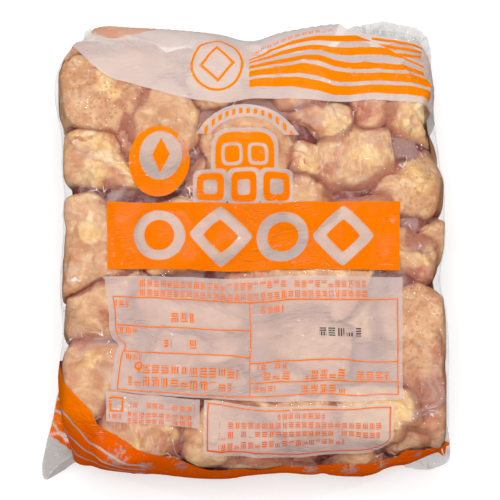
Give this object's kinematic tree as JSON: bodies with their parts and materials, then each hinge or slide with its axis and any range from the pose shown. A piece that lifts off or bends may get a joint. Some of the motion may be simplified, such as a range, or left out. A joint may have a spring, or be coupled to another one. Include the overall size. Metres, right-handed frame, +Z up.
{
  "type": "bag of raw chicken wings",
  "caption": "Clear sealed film bag packed with frozen raw chicken wings, lying flat, lumpy on every side, with a plain printed front and loose film at its corners.",
  "frame": {"origin": "on the surface that the bag lies on, under the middle of its bounding box", "axes": "+Y along the bag towards its folded top end, +X across it, +Z up out of the printed face"},
  "size_m": [0.2476, 0.284, 0.0553],
  "materials": {
    "film_and_wings": "clear glossy film over raw skin and flesh"
  },
  "bodies": {
    "root": {"wing_bag": "film_and_wings"}
  },
  "joints": []
}
